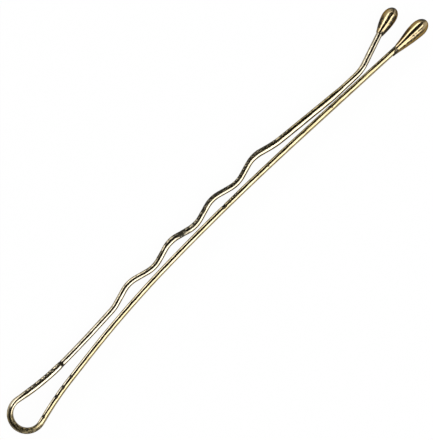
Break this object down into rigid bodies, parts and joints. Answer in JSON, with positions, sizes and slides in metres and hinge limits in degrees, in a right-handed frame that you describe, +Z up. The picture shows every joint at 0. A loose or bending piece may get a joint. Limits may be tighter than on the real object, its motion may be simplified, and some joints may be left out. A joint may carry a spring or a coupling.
{
  "type": "bobby pin",
  "caption": "Sprung hair pin of flat wire folded at a round bow into a straight leg and a crimped leg that pinch together, with a dipped bead on each tip.",
  "frame": {"origin": "centre of the footprint, on the surface that the pin lies on", "axes": "+X along the pin from the bow towards the tips, +Y from the straight leg towards the crimped leg, +Z up across the wire's width"},
  "size_m": [0.06, 0.0051, 0.0017],
  "materials": {
    "wire_lacquer": "flat spring steel wire with a polished antique gold lacquer",
    "bead_lacquer": "dipped resin bead under the same gold lacquer, darker and browner, polished"
  },
  "bodies": {
    "straight_side": {"straight_leg": "wire_lacquer", "bow": "wire_lacquer", "straight_leg_tip": "bead_lacquer"},
    "crimped_side": {"crimped_leg": "wire_lacquer", "crimped_leg_tip": "bead_lacquer"}
  },
  "joints": [
    {"name": "legs_open", "type": "hinge", "parent": "straight_side", "child": "crimped_side", "pos_m": [-0.02889, -0.00051, 0.00087], "axis": [0, 0, 1], "range_deg": [0, 12], "stiffness_Nm_per_rad": 0.13, "deforming": ["bow"]}
  ]
}
